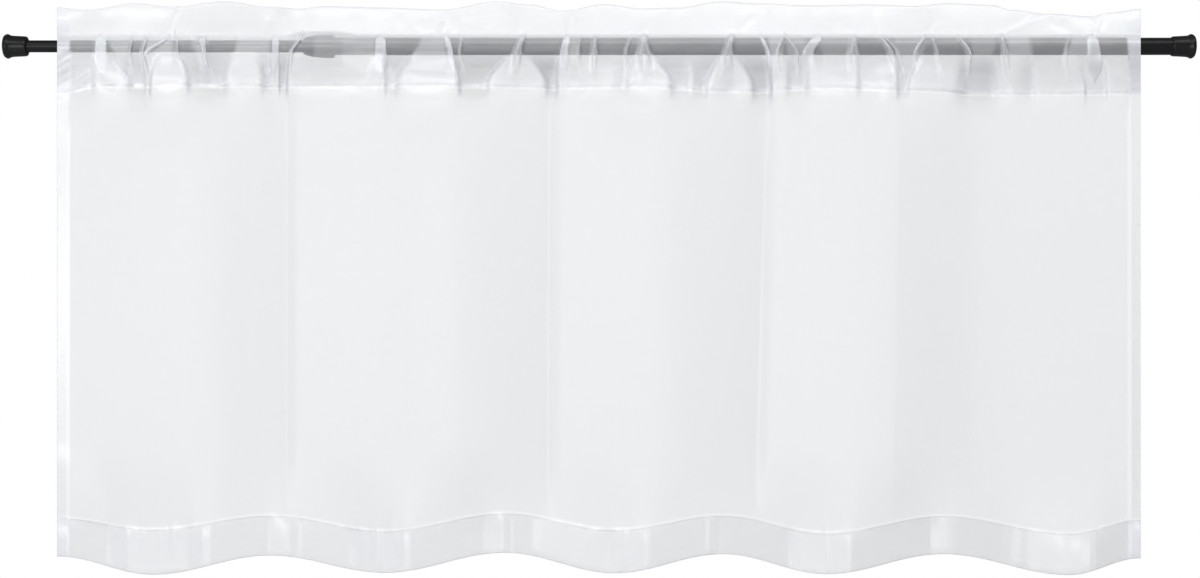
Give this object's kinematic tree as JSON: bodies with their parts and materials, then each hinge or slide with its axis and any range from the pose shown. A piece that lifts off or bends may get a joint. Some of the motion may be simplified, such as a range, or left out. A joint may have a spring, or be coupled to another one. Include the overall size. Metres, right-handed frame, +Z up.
{
  "type": "cafe curtain and tension rod",
  "caption": "Sheer white cafe curtain with a ruffled rod-pocket heading, gathered on a black telescoping tension rod.",
  "frame": {"origin": "centre of the left end cap's wall face, on the rod's axis", "axes": "+X along the rod from left to right, -Y towards the viewer in front of the curtain, +Z up"},
  "size_m": [1.308, 0.0635, 0.6286],
  "materials": {
    "voile": "sheer plain-weave white voile, semi-transparent where single",
    "black_enamel": "gloss black enamel on steel tube",
    "black_plastic": "gloss black moulded plastic"
  },
  "bodies": {
    "root": {"curtain_panel": "voile", "rod_outer_tube": "black_enamel", "rod_inner_tube": "black_enamel", "rod_collar": "black_plastic", "end_cap_left": "black_plastic", "end_cap_right": "black_plastic"}
  },
  "joints": []
}
